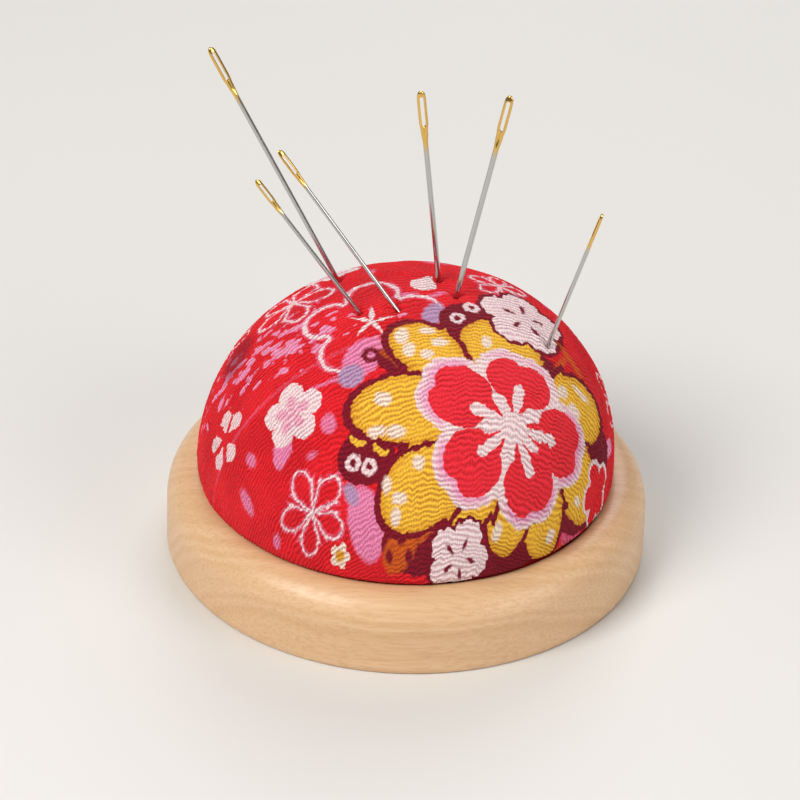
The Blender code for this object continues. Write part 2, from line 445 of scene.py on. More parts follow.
class Print:
    """Paints shapes over one another. A shape is (value, scale, offset): value * scale + offset is the
    distance from its edge in millimetres of flat cloth, below 0 inside. The point's third value is 1, so
    that one dot product moves, turns and scales it.
    """

    def __init__(self, nodes, point, ground):
        self.nodes = nodes
        self.point = point
        self.colour = ground

    def paint(self, shape, colour, grow=0.0, soft=0.16, strength=1.0):
        """Covers the shape, grown by a margin, with a colour. The mix limits the mask to 0 and 1."""
        value, scale, offset = shape
        mask = self.nodes.math("MULTIPLY_ADD", value, -scale / soft, (grow - offset) / soft + 0.5)
        if strength != 1.0:
            mask = self.nodes.math("MINIMUM", mask, strength)
        self.colour = self.nodes.mix(mask, self.colour, colour)

    def distance(self, shape):
        value, scale, offset = shape
        return self.nodes.math("MULTIPLY_ADD", value, scale, offset)

    def local(self, x, y, turn, size_along=1.0, size_across=1.0):
        """Coordinates along and across a direction, from (x, y), in the given units."""
        c, s = math.cos(math.radians(turn)), math.sin(math.radians(turn))
        along = (c / size_along, s / size_along, -(c * x + s * y) / size_along)
        across = (-s / size_across, c / size_across, (s * x - c * y) / size_across)
        return [self.nodes.vector("DOT_PRODUCT", self.point, row) for row in (along, across)]

    def disc(self, x, y, radius):
        return self.nodes.vector("DISTANCE", self.point, (x, y, 1.0)), 1.0, -radius

    def spot(self, x, y, width, height):
        """Upright ellipse."""
        half = min(width, height) / 2
        scaled = self.nodes.vector("MULTIPLY_ADD", self.point, (2 / width, 2 / height, 0.0),
                                   (-2 * x / width, -2 * y / height, 0.0))
        return self.nodes.vector("LENGTH", scaled), half, -half

    def oval(self, x, y, length, width, turn):
        """Ellipse with its length along turn."""
        half = min(length, width) / 2
        pair = self.local(x, y, turn, length / 2, width / 2)
        return self.nodes.vector("LENGTH", self.nodes.joined(*pair)), half, -half

    def drop(self, along, across, notch):
        """Drop of unit length to its bulge, with a notched end, from coordinates along and across it."""
        nodes = self.nodes
        folded = nodes.joined(along, nodes.math("ABSOLUTE", across))
        end = nodes.vector("DISTANCE", folded, (1.0, notch / 2, 0.0))
        end = nodes.math("SUBTRACT", end, DROP_BULGE)
        side = nodes.vector("DOT_PRODUCT", folded, (-DROP_BULGE, math.sqrt(1 - DROP_BULGE**2), 0.0))
        side = nodes.math("MAXIMUM", side, nodes.math("SUBTRACT", along, 1.0))
        return nodes.math("MINIMUM", end, side)

    def petal(self, x, y, turn, length, width, notch):
        """Drop shape whose point is at (x, y) and whose rounded end is length away along turn."""
        size_along = length / (1.0 + DROP_BULGE)
        size_across = width / (2 * DROP_BULGE + notch)
        drop = self.drop(*self.local(x, y, turn, size_along, size_across), notch)
        return drop, (size_along + size_across) / 2, 0.0

    def sector(self, x, y, turn):
        """Coordinates along and across the nearest of a blossom's evenly turned directions."""
        nodes = self.nodes
        along, across = self.local(x, y, turn)
        angle = nodes.math("ARCTAN2", across, along)
        angle = nodes.math("PINGPONG", angle, math.pi / LOBES)
        away = nodes.vector("LENGTH", nodes.joined(along, across))
        along = nodes.math("MULTIPLY", away, nodes.math("COSINE", angle))
        across = nodes.math("MULTIPLY", away, nodes.math("SINE", angle))
        return along, across, away, angle

    def rosette(self, x, y, turn, reach, lobe, frill=0.0):
        """Blossom of round lobes whose centres stand reach from (x, y), with a frilled edge."""
        nodes = self.nodes
        along, across, away, angle = self.sector(x, y, turn)
        edge = nodes.vector("DISTANCE", nodes.joined(along, across), (reach, 0.0, 0.0))
        if frill:
            ripple = nodes.math("COSINE", nodes.math("MULTIPLY", angle, LOBES * 4.0))
            edge = nodes.math("MULTIPLY_ADD", ripple, frill, edge)
        core = nodes.math("SUBTRACT", away, reach - lobe)
        return nodes.math("MINIMUM", edge, core), 1.0, -lobe

    def daisy(self, x, y, turn, length, width):
        """Blossom of drops that meet at (x, y)."""
        along, across, _, _ = self.sector(x, y, turn)
        size_along = length / (1.0 + DROP_BULGE)
        size_across = width / (2 * DROP_BULGE)
        along = self.nodes.math("DIVIDE", along, size_along)
        across = self.nodes.math("DIVIDE", across, size_across)
        return self.drop(along, across, 0.0), (size_along + size_across) / 2, 0.0

    def outline(self, shape, half_width):
        """The shape's edge as a line."""
        return self.nodes.math("ABSOLUTE", self.distance(shape)), 1.0, -half_width

    def union(self, shapes):
        """Several shapes as one."""
        joint = self.distance(shapes[0])
        for shape in shapes[1:]:
            joint = self.nodes.math("MINIMUM", joint, self.distance(shape))
        return joint, 1.0, 0.0


def add_layer(shader, point, colour, name, paint):
    """Paints one layer of the print over a colour, in a node group of its own."""
    tree = bpy.data.node_groups.new(name, "ShaderNodeTree")
    tree.interface.new_socket("Point", in_out="INPUT", socket_type="NodeSocketVector")
    tree.interface.new_socket("Ground", in_out="INPUT", socket_type="NodeSocketColor")
    tree.interface.new_socket("Colour", in_out="OUTPUT", socket_type="NodeSocketColor")
    nodes = Nodes(tree)
    entry = nodes.add("NodeGroupInput")
    art = Print(nodes, entry.outputs["Point"], entry.outputs["Ground"])
    paint(art)
    nodes.plug(nodes.add("NodeGroupOutput").inputs["Colour"], art.colour)
    layer = shader.add("ShaderNodeGroup", node_tree=tree)
    shader.plug(layer.inputs["Point"], point)
    shader.plug(layer.inputs["Ground"], colour)
    return layer.outputs["Colour"]


def around(x, y, angle, radius):
    """The point at an angle in degrees and a radius from (x, y)."""
    return (x + radius * math.cos(math.radians(angle)), y + radius * math.sin(math.radians(angle)))


def paint_left_field(art):
    """Red field: streaks, blossoms in line and in white, and loose pink dots."""
    nodes = art.nodes
    grain = nodes.placed(art.point, turn=20, size=(3, 2, 1))
    specks = nodes.noise(grain, 1, 1, 0.6)
    place = art.distance(art.oval(-27, -5, 36, 12, -8))
    field = nodes.math("MULTIPLY_ADD", place, 0.028, 0.62)
    art.paint((nodes.math("SUBTRACT", field, specks), 1, 0), MAUVE, soft=0.06, strength=0.85)
    art.paint(art.oval(-33, 1, 9, 6, 70), SHADOW_RED, soft=3, strength=0.7)
    art.paint(art.oval(-26, -16, 26, 0.4, 17), PINK, soft=0.5, strength=0.2)
    art.paint(art.oval(-15.5, -17.6, 6.5, 0.6, 8), PINK, soft=0.4, strength=0.8)
    for x, y, length, width, turn in (
        (-31.5, -25, 3, 2, 120), (-35.2, -31.2, 5.6, 2.4, 105), (-14.8, -25, 3.4, 2.6, 110),
        (-30, -41, 2.6, 2, 60), (-12, -33, 2.6, 0.7, 20), (-18.2, -29.6, 1.6, 0.8, 0),
        (-2, 1.4, 2.6, 0.9, 20), (2.8, 1.8, 3, 1.1, 30), (-8, 12, 2.4, 1, 80),
    ):
        art.paint(art.oval(x, y, length, width, turn), PINK, soft=0.7, strength=0.85)
    art.paint(art.rosette(-14.6, -47.6, 60, 1.5, 1), CREAM)
    art.paint(art.disc(-14.6, -47.6, 1.1), DEEP_YELLOW, soft=0.5)
    art.paint(art.petal(-21.5, -21.5, -117, 9, 3.8, 0), PINK, soft=0.5)
    art.paint(art.rosette(-21.5, -21.2, 90, 3.5, 2.3), WHITE)
    art.paint(art.daisy(-21.5, -21.2, 90, 3.2, 1.5), PINK, soft=0.9, strength=0.6)
    art.paint(art.petal(1.9, 8.6, -112, 5.6, 4.4, 0.2), WHITE)


def paint_line_blossoms(art):
    """Blossoms drawn in pale line."""
    for x, y, turn, length, width in (
        (-19.6, -38.9, 106, 7.6, 4.1), (-21.5, 6.8, 65, 7.2, 4), (13.6, 10.4, 20, 5.2, 2.9),
    ):
        loops = art.outline(art.daisy(x, y, turn, length, width), 0.22)
        art.paint(loops, PINK, grow=0.25, soft=0.4, strength=0.35)
        art.paint(loops, WHITE, strength=0.9)
    big = art.outline(art.rosette(-7.6, -5.6, 91, 7.5, 4.2), 0.36)
    art.paint(big, PINK, grow=0.25, soft=0.5, strength=0.35)
    art.paint(big, WHITE, strength=0.94)
    for angle in (92, 158, 14, 232, 300):
        art.paint(art.petal(*around(-7.6, -5.8, angle, 3.9), angle + 180, 4, 0.8, 0), WHITE, soft=0.3)
    for angle in (20, 75, 150, 215, 285):
        art.paint(art.petal(*around(-37.4, -16.6, angle, 1.2), angle, 4.2, 3, 0), WHITE, strength=0.9)


def paint_far_field(art):
    """The right and the back of the repeat: loose blossoms and dots on red."""
    for x, y, turn in ((42.5, 4.5, 50), (-36, 13, 20)):
        loops = art.outline(art.daisy(x, y, turn, 7.2, 4), 0.22)
        art.paint(loops, WHITE, strength=0.9)
    for x, y in ((30.5, 16), (-15, 17.5)):
        art.paint(art.rosette(x, y, 60, 3.1, 2), WHITE)
        art.paint(art.daisy(x, y, 60, 2.9, 1.4), PINK, soft=0.9, strength=0.6)
    for x, y, length, width, turn in (
        (46, 14.5, 4.4, 2.4, 60), (37.5, 11.5, 3, 2, 20), (23, 14.5, 3.4, 1.8, 100),
        (49, -3, 4, 2.2, 110), (3, 18.5, 3.8, 2, 15), (-26, 15, 3, 1.8, 75), (-44, 6, 4.2, 2.2, 100),
    ):
        art.paint(art.oval(x, y, length, width, turn), PINK, soft=0.7, strength=0.85)


def paint_medallion_ground(art):
    """Maroon ground of the big flower, with patches, rings and crescents."""
    for x, y, length, width, turn, colour in (
        (-8.2, -43, 13.5, 7.4, 100, PINK), (-11, -37.4, 4, 2.6, 120, LAVENDER),
        (-8.8, -13.8, 8.5, 6.4, 60, PINK), (-10.8, -17.2, 4.4, 4.4, 0, LAVENDER),
        (2.4, -4, 6.4, 3.6, 75, LAVENDER), (41, -32, 8, 5, 40, HOT_PINK), (43, -10, 7, 3, 70, MAUVE),
    ):
        art.paint(art.oval(x, y, length, width, turn), colour, soft=0.6)
    for x, y, length, width, turn in (
        (18, -25, 42, 36, 0), (8.4, -4.6, 10.5, 9.5, 20), (20, 0, 12, 14, 0),
        (-8.2, -31.6, 10.5, 9.4, 0), (3, -46.5, 16, 11, 0), (24, -46, 20, 8, 20),
        (40.5, -14.5, 8, 10, 0), (38, -31.5, 12, 4, 20), (-2.6, -16.2, 10, 5, -40),
    ):
        art.paint(art.oval(x, y, length, width, turn), MAROON)
    for x, y, length, width, turn in (
        (-1, -47.6, 9, 6.4, 60), (4, -44.6, 5, 1.2, 40), (-3.6, -15, 6, 0.9, -40),
        (28.4, -3.4, 11, 1.3, -34), (25.4, -6.6, 6, 1, 70), (31, -7, 6, 1, 20), (39, -37, 5, 1.2, 60),
    ):
        art.paint(art.oval(x, y, length, width, turn), ORANGE, soft=0.8, strength=0.9)
    for x, y, width, height in ((-3.2, -48.6, 1.6, 2.4), (-0.6, -45.6, 1.8, 1.6), (1.2, -48.4, 1.6, 2.6)):
        art.paint(art.spot(x, y, width, height), MAROON, soft=0.5)
    for x, y in ((6.3, -4.5), (8.6, -0.9), (-10.5, -32.4), (-7.5, -33.4)):
        art.paint(art.outline(art.disc(x, y, 1), 0.42), WHITE, soft=0.3)
    art.paint(art.outline(art.disc(-7.6, -13.6, 1.1), 0.45), MAROON, soft=0.4)
    for x, y in ((-9.6, -28.8), (-5.4, -30.6)):
        art.paint(art.oval(x, y, 3.2, 1.6, -25), YELLOW)
        art.paint(art.oval(x + 0.2, y + 0.7, 2.6, 1.2, -25), MAROON)


def paint_outer_petals(art):
    """Yellow outer petals with maroon outlines and cream spots, from behind to in front."""
    for x, y, angle, length, width in (
        (15.8, -21.5, 98, 18.8, 14.5), (17.8, -23.5, 39, 24.4, 12.6), (17.8, -23.5, -3, 27, 12.8),
        (17.8, -23.5, -43, 25, 11.4), (17.8, -23.5, -76, 21.8, 10.4), (17.8, -23.5, -113, 21.4, 10.4),
        (17.8, -23.5, -139, 29, 13.4), (17.8, -23.5, 181, 28.6, 11.6), (11.5, -18.8, 147, 18.6, 9.6),
    ):
        leaf = art.petal(x, y, angle, length, width, 0.06)
        art.paint(leaf, MAROON, grow=1.15)
        art.paint(leaf, DEEP_YELLOW)
        art.paint(leaf, YELLOW, grow=-0.7, soft=1.6)
    for x, y, width, height in (
        (-2.6, -9.8, 2.4, 3.4), (-1.4, -12.8, 2.2, 2.9), (1.4, -8.4, 2.5, 1.5), (3.6, -10.8, 2.7, 2),
        (1.6, -13.6, 2.3, 2), (-5.3, -22.2, 3, 2.4), (-6.2, -27.6, 3.2, 2), (-2.8, -27.9, 3.2, 2.2),
        (1.4, -32.8, 2.1, 2.5), (-4.2, -36.4, 1.8, 2.8), (-1.6, -38.6, 2.9, 2.1), (-2.2, -41.6, 2, 3),
        (19.8, -41.2, 2.2, 3.6), (34.3, -36.3, 2.5, 2.9), (26.6, -12.2, 2.3, 2.7),
        (29.8, -13.8, 3.3, 2.3), (30.8, -9, 4.6, 1.5), (11.4, -8.8, 1.9, 2.5), (38, -27, 2.5, 1.9),
    ):
        art.paint(art.spot(x, y, width, height), CREAM, soft=0.5)


def paint_red_flower(art):
    """The big red blossom with its pale border, stamens and centre."""
    x, y = 17.8, -23.6
    flower = art.union([
        art.petal(*around(x, y, angle, 1.1), angle, length - 1.1, width, 0.55)
        for angle, length, width in (
            (89.5, 12.4, 12.4), (11, 15.6, 11.6), (-52, 14.9, 11.8), (-129, 15, 11.4),
            (164, 15.7, 10.8),
        )
    ])
    art.paint(flower, WHITE, grow=1.9, soft=0.3)
    core = art.nodes.math("SUBTRACT", 13.2, art.disc(x, y, 0)[0])
    tips = art.nodes.math("MAXIMUM", art.nodes.math("SUBTRACT", flower[0], 1), core)
    art.paint((tips, 1, 0), MAUVE, soft=1.4, strength=0.85)
    art.paint(flower, PETAL_RED)
    for angle, length in ((89, 8), (8, 9.4), (-48, 9), (-131, 8.6), (171, 8.4)):
        art.paint(art.petal(x, y, angle, length, 1.9, 0), WHITE)
        art.paint(art.disc(*around(x, y, angle, length - 1.2), 1.1), WHITE)
    art.paint(art.disc(x, y, 2.6), WHITE)


def paint_white_blossoms(art):
    """Scalloped white blossoms over the medallion's edge."""
    for x, y, turn, reach, lobe in ((17.9, 0.6, 97, 4.3, 3.5), (12.8, -47.8, 80, 3.9, 3.3)):
        blossom = art.rosette(x, y, turn, reach, lobe, frill=0.16)
        art.paint(blossom, MAROON, grow=0.75)
        art.paint(blossom, WHITE)
        for k in range(LOBES):
            angle = turn + 72 * k
            art.paint(art.oval(*around(x, y, angle, 2.9), 2.3, 0.9, angle), MAROON, soft=0.3)
    art.paint(art.outline(art.rosette(44, -20.5, 90, 3.6, 2.6), 0.4), WHITE)
    art.paint(art.rosette(44, -20.5, 90, 3.6, 2.6), RED, grow=-0.4)


def crepe_cloth():
    """Printed crepe: dyed figures on a ridged plain weave, with painted shade darkening the valleys between
    the ridges.
    """
    shader = Shader("printed_crepe")
    flat = shader.uv("cloth")
    phase, strength, _ = shader.parts(shader.uv("relief"))
    ragged = shader.noise(flat, 0.9, 2.0, 0.6, colour=True)
    ragged = shader.vector("SUBTRACT", ragged, (0.5, 0.5, 0.5))
    ragged = shader.vector("MULTIPLY", ragged, (1.0, 1.5, 0.0))
    x, y, _ = shader.parts(shader.vector("ADD", flat, ragged))
    behind = shader.math("GREATER_THAN", y, PRINT_REPEAT / 2)
    side = shader.math("MULTIPLY_ADD", behind, -2.0, 1.0)
    x = shader.math("MULTIPLY", x, side)
    y = shader.math("ADD", shader.math("MULTIPLY", y, side), shader.math("MULTIPLY", behind, PRINT_REPEAT))
    point = shader.joined(x, y, 1.0)
    dye = shader.noise(flat, 0.11, 3.0)
    colour = shader.mix(shader.span(dye, 0.35, 0.65, 0.0, 0.5), RED, DEEP_RED)
    for name, paint in (
        ("left_field", paint_left_field),
        ("line_blossoms", paint_line_blossoms),
        ("far_field", paint_far_field),
        ("medallion_ground", paint_medallion_ground),
        ("outer_petals", paint_outer_petals),
        ("red_flower", paint_red_flower),
        ("white_blossoms", paint_white_blossoms),
    ):
        colour = add_layer(shader, point, colour, name, paint)
    height = yarns(shader, flat, phase, strength)
    # Painted shade: the yarn height darkens the colour in the weave's valleys and leaves it full on the
    # crests, on top of the bump's own shading.
    painted_ridge_shade = shader.mix(height, linear(190, 152, 164), linear(255, 255, 255))
    colour = shader.mix(1.0, colour, painted_ridge_shade, "MULTIPLY")
    lint = shader.noise(flat, 5.0, 2.0, 0.7)
    colour = shader.mix(shader.span(lint, 0.60, 0.80, 0.0, 0.3), colour, linear(255, 206, 208))
    normal = shader.bump(height, 0.18 * MM)
    return shader.finish(colour, 0.85, normal, Sheen_Weight=0.04, Sheen_Roughness=0.5,
                         Specular_IOR_Level=0.12)


def yarns(shader, flat, phase, strength):
    """Height of the twisted yarns along the ridges, from 0 in the valleys to about 1 on the crowns."""
    ridge = shader.math("COSINE", shader.math("MULTIPLY", phase, math.tau))
    ridge = shader.math("MULTIPLY_ADD", shader.math("MULTIPLY", ridge, strength), -0.5, 0.5)
    wander = shader.noise(flat, 1.6, 2.0)
    along = shader.math("MULTIPLY_ADD", shader.parts(flat)[0], math.tau / STITCH_LENGTH,
                        shader.math("MULTIPLY", wander, 16.0))
    stitch = shader.math("SINE", shader.math("MULTIPLY_ADD", phase, 2.2, along))
    grain = shader.noise(flat, 6.0, 2.0, 0.6)
    crown = shader.math("MULTIPLY_ADD", stitch, 0.26, 0.50)
    crown = shader.math("MULTIPLY_ADD", grain, 0.5, crown)
    return shader.math("MULTIPLY_ADD", ridge, 0.75, shader.math("MULTIPLY_ADD", crown, 0.65, -0.32))


# ---------------------------------------------------------------- other materials


def turned_wood():
    """Pale close-grained wood under a satin coat, with its grain along X."""
    shader = Shader("satin_wood")
    where = shader.millimetres()
    bend = shader.noise(shader.placed(where, size=(40.0, 14.0, 14.0)), 1.0, 2.0, colour=True)
    bent = shader.vector("ADD", where, shader.vector("MULTIPLY", bend, (0.0, 5.0, 5.0)))
    _, y, z = shader.parts(bent)
    ring = shader.math("SQRT", shader.math("ADD",
        shader.math("POWER", shader.math("ADD", y, 46.0), 2.0),
        shader.math("POWER", shader.math("ADD", z, 30.0), 2.0)))
    ring = shader.noise(shader.joined(ring, 0.0), 0.55, 2.0, 0.55)
    fibre = shader.noise(shader.placed(where, size=(9.0, 0.42, 0.42)), 1.0, 3.0, 0.6)
    fleck = shader.noise(shader.placed(where, size=(2.4, 0.20, 0.20)), 1.0, 2.0, 0.6)
    colour = shader.mix(shader.span(ring, 0.35, 0.65), linear(222, 185, 145), linear(213, 173, 130))
    colour = shader.mix(shader.span(fibre, 0.40, 0.72, 0.0, 0.45), colour, linear(196, 150, 105))
    colour = shader.mix(shader.span(fleck, 0.60, 0.76, 0.0, 0.5), colour, linear(170, 118, 78))
    height = shader.math("ADD", fibre, shader.math("MULTIPLY", fleck, 0.5))
    normal = shader.bump(height, 0.02 * MM)
    rough = shader.span(fibre, 0.3, 0.7, 0.36, 0.48)
    return shader.finish(colour, rough, normal, Coat_Weight=0.25, Coat_Roughness=0.3, Specular_IOR_Level=0.4)


def needle_metal():
    """Polished steel that turns to gold plating towards the eye."""
    shader = Shader("needle_steel_and_gold")
    turn, share, _ = shader.parts(shader.uv("needle"))
    streak = shader.noise(shader.joined(shader.math("MULTIPLY", turn, 60.0), share), 1.0, 2.0)
    edge = shader.math("MULTIPLY_ADD", streak, 0.16, share)
    gold = shader.span(edge, 0.93, 1.18, 1.0, 0.0)
    steel = shader.mix(streak, linear(176, 175, 174), linear(206, 205, 204))
    plate = shader.mix(streak, linear(212, 164, 78), linear(240, 204, 122))
    colour = shader.mix(gold, steel, plate)
    rough = shader.span(streak, 0.2, 0.8, 0.08, 0.14)
    normal = shader.bump(streak, 0.004 * MM)
    return shader.finish(colour, rough, normal, Metallic=1.0)


def paperboard():
    """Grey-brown board with pressed fibres."""
    shader = Shader("paperboard")
    where = shader.millimetres()
    pulp = shader.noise(where, 1.6, 4.0, 0.65)
    fibre = shader.noise(shader.placed(where, turn=25.0, size=(3.0, 0.3, 1.0)), 1.0, 3.0)
    colour = shader.mix(pulp, linear(150, 130, 106), linear(190, 170, 144))
    colour = shader.mix(shader.span(fibre, 0.62, 0.72, 0.0, 0.6), colour, linear(112, 94, 76))
    return shader.finish(colour, 0.9, shader.bump(pulp, 0.06 * MM))


def dried_glue():
    """Amber hot-melt glue with a few bubbles."""
    shader = Shader("dried_glue")
    where = shader.millimetres()
    flow = shader.noise(where, 0.25, 3.0)
    bubble = shader.add("ShaderNodeTexVoronoi")
    shader.plug(bubble.inputs["Vector"], where)
    bubble.inputs["Scale"].default_value = 0.45
    round_edge = shader.span(bubble.outputs["Distance"], 0.05, 0.28)
    colour = shader.mix(flow, linear(222, 196, 140), linear(240, 224, 182))
    rough = shader.span(flow, 0.3, 0.7, 0.22, 0.4)
    return shader.finish(colour, rough, shader.bump(round_edge, 0.12 * MM), Subsurface_Weight=0.2)


def wadding_fibre():
    """White polyester wadding."""
    shader = Shader("wadding")
    where = shader.millimetres()
    curl = shader.noise(where, 0.7, 5.0, 0.7, 2.0)
    colour = shader.mix(curl, linear(206, 204, 198), linear(246, 245, 242))
    return shader.finish(colour, 0.95, shader.bump(curl, 0.5 * MM), Sheen_Weight=0.3)


def cotton_thread():
    """Red sewing cotton."""
    shader = Shader("cotton_thread")
    where = shader.millimetres()
    fluff = shader.noise(where, 6.0, 3.0, 0.7)
    colour = shader.mix(fluff, linear(150, 26, 38), linear(206, 52, 62))
    return shader.finish(colour, 0.8, shader.bump(fluff, 0.03 * MM), Sheen_Weight=0.3)


# ---------------------------------------------------------------- needles


def measure_needle(name):
    """The needle's own frame and sizes, read from its joint and its CAD node."""
    joint = next(j for j in frame["joints"] if j["child"] == name)
    axis = np.array(Vector(joint["axis"]).normalized())
    points = node_points(name)
    along = points @ axis
    tip = points[along < along.min() + TINY].mean(axis=0)
    along = along - along.min()
    length = along.max()
    offset = points - tip - np.outer(along, axis)
    reach = np.linalg.norm(offset, axis=1)
    across = offset[reach.argmax()] / reach.max()
    share = along / length
    shaft = reach[(share > 0.08) & (share < 0.5)].max()
    on_slot = (np.abs(offset @ across) < TINY) & (share > 0.6)
    return {
        "tip": tip,
        "axis": axis,
        "across": across,
        "length": length,
        "shaft": shaft,
        "half_width": reach.max(),
        "slot": (along[on_slot].min(), along[on_slot].max()),
    }


def needle_matrix(size):
    """Places local needle coordinates: Z from the point to the eye, X across the eye."""
    third = np.cross(size["axis"], size["across"])
    turn = Matrix((size["across"], third, size["axis"])).transposed().to_4x4()
    return Matrix.Translation(size["tip"]) @ turn


def needle_section(size, z):
    """Half sizes (across, through) of the needle at height z above its point, and the groove's depth."""
    shaft, wide, length = size["shaft"], size["half_width"], size["length"]
    slot_low, slot_high = size["slot"]
    flat = shaft * NEEDLE_FLAT
    stations = [
        (0.0, shaft * 0.10, shaft * 0.10),
        (2.7 * MM, shaft * 0.60, shaft * 0.60),
        (POINT_LENGTH, shaft, shaft),
        (slot_low - NECK_LOW, shaft, shaft),
        (slot_low - 1.0 * MM, (shaft + wide) / 2, flat),
        (slot_low + NECK_HIGH, wide, flat),
        (slot_high - HEAD_LOW, wide, flat),
        (length, wide * 0.95, flat * 0.92),
    ]
    at = [station[0] for station in stations]
    i = min(max(int(np.searchsorted(at, z)) - 1, 0), len(at) - 2)
    share = float(smooth((z - at[i]) / (at[i + 1] - at[i])))
    if i < 2:
        share = (z - at[i]) / (at[i + 1] - at[i])
    across = stations[i][1] * (1 - share) + stations[i + 1][1] * share
    through = stations[i][2] * (1 - share) + stations[i + 1][2] * share
    end = 1.5 * wide
    from_top = (z - (length - end)) / end
    if from_top > 0:
        round_off = math.sqrt(max(1 - from_top**2, 0.0))
        across *= round_off
        through *= 0.4 + 0.6 * round_off
    groove = float(smooth((z - slot_low + 3.0 * MM) / (2.2 * MM))) * float(z < slot_low + 0.3 * MM)
    return across, through, groove


def groove_dent(groove, x):
    """Factor by which the groove below the eye lowers the needle's flat sides."""
    return 1 - GROOVE_DEPTH * groove * np.exp(-((x / GROOVE_WIDTH) ** 2))


def needle_side(size, x, z):
    """Distance of the needle's flat side from its middle plane."""
    across, through, groove = needle_section(size, z)
    return through * math.sqrt(max(1 - (x / across) ** 2, 0.0)) * groove_dent(groove, x)


def needle_mesh(name, size):
    """A loft from point to eye, in the needle's own coordinates."""
    slot_low, slot_high = size["slot"]
    length = size["length"]
    head = length - slot_high + HEAD_LOW
    heights = np.concatenate([
        np.linspace(0.0, POINT_LENGTH, 10, endpoint=False),
        np.linspace(POINT_LENGTH, slot_low - NECK_LOW, 12, endpoint=False),
        np.linspace(slot_low - NECK_LOW, slot_low + NECK_HIGH, 22, endpoint=False),
        np.linspace(slot_low + NECK_HIGH, slot_high - HEAD_LOW, 10, endpoint=False),
        length - head * (1 - np.sin(np.linspace(0, 1, 16, endpoint=False) * math.pi / 2)),
    ])
    turn = even_turns(NEEDLE_SIDES)
    rings = [np.array([[0.0, 0.0, -0.02 * MM]])]
    for z in heights:
        across, through, groove = needle_section(size, z)
        x = across * np.cos(turn)
        y = through * np.sin(turn)
        rings.append(np.stack([x, y * groove_dent(groove, x), np.full(NEEDLE_SIDES, z)], axis=1))
    rings.append(np.array([[0.0, 0.0, length]]))
    counts = [len(ring) for ring in rings]
    points = np.concatenate(rings)
    mesh = ring_mesh(name, counts, points)
    gold_length = GOLD_SHARE * (slot_high - slot_low)
    around_share = np.arctan2(points[:, 1], points[:, 0]) / math.tau
    store_uv(mesh, "needle", np.stack([np.abs(around_share), (length - points[:, 2]) / gold_length], axis=1))
    return mesh


def slot_cutter(size):
    """Long round-ended prism that cuts the eye, flared at both flat sides to round the eye's edges."""
    low, high = size["slot"]
    half = size["half_width"] * SLOT_SHARE
    ends = [(math.radians(start + 15.0 * i), centre)
            for centre, start in ((high - half, 0.0), (low + half, 180.0)) for i in range(13)]
    turns = [math.radians(turn) for turn in (0.0, 15.0, 30.0, 45.0, 60.0, 75.0)]
    flare = [(EYE_ROUND * (1 - math.cos(turn)), EYE_ROUND * (math.sin(turn) - 1)) for turn in turns]
    grow, rise = flare[-1]
    beyond = 2 * EYE_ROUND
    flare.append((grow + beyond * math.sin(turns[-1]), rise + beyond * math.cos(turns[-1])))
    deep = 2.0 * size["shaft"]
    middle = (low + high) / 2

    def ring(grow, rise, side):
        points = []
        for angle, centre in ends:
            x, z = (half + grow) * math.cos(angle), centre + (half + grow) * math.sin(angle)
            y = deep if rise is None else needle_side(size, x, z) + rise
            points.append((x, side * y, z))
        return np.array(points)

    wide = flare[-1][0]
    rings = [np.array([[0.0, -deep, middle]]), ring(wide, None, -1)]
    rings += [ring(grow, rise, -1) for grow, rise in reversed(flare)]
    rings += [ring(grow, rise, 1) for grow, rise in flare]
    rings += [ring(wide, None, 1), np.array([[0.0, deep, middle]])]
    return ring_mesh("slot_cutter", [len(points) for points in rings], np.concatenate(rings))


def make_needle(name, size, metal):
    """One sewing needle with a real, round-edged eye."""
    mesh = cut(needle_mesh(name + "_polished", size), slot_cutter(size))
    mesh.transform(needle_matrix(size))
    piece = add_piece(name + "_polished", mesh, metal, name)
    mesh.set_sharp_from_angle(angle=SHARP_ANGLE)
    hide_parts(name)


def channel_cutter(sizes, clearance, outside, inside):
    """Rods along the needles' paths. outside and inside reach beyond the point where each meets the dome."""
    bm = bmesh.new()
    for size in sizes:
        entry = dome_entry(size)
        radius = size["shaft"] + clearance
        middle = Matrix.Translation((0, 0, entry + (outside - inside) / 2))
        bmesh.ops.create_cone(bm, cap_ends=True, segments=28, radius1=radius, radius2=radius,
                              depth=outside + inside, matrix=needle_matrix(size) @ middle)
    return mesh_from(bm, "channel_cutter")


# ---------------------------------------------------------------- the dome


def measure_dome():
    """The dome's sizes, read from the CAD cover, base and glue pad."""
    low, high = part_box("cushion_cover")
    points = node_points("cushion_cover")
    glue_low, glue_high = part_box("glue_pad")
    centre_x = (glue_low.x + glue_high.x) / 2
    away = np.hypot(points[:, 0] - centre_x, points[:, 1])
    return {
        "radius": (high.y - low.y) / 2,
        "top": high.z,
        "waist": float(points[points[:, 1].argmax(), 2]),
        "rim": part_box("wooden_base")[1].z,
        "foot": low.z,
        "centre_x": centre_x,
        "apex_x": float(points[points[:, 2].argmax(), 0]),
        "hem": float(away[points[:, 2] < low.z + TINY].min()),
    }


DOME = measure_dome()


def lean(z):
    """How far the dome's own axis stands from the base's axis at height z."""
    share = np.clip((z - DOME["rim"]) / (DOME["top"] - DOME["rim"]), 0.0, None)
    return DOME["centre_x"] + (DOME["apex_x"] - DOME["centre_x"]) * share


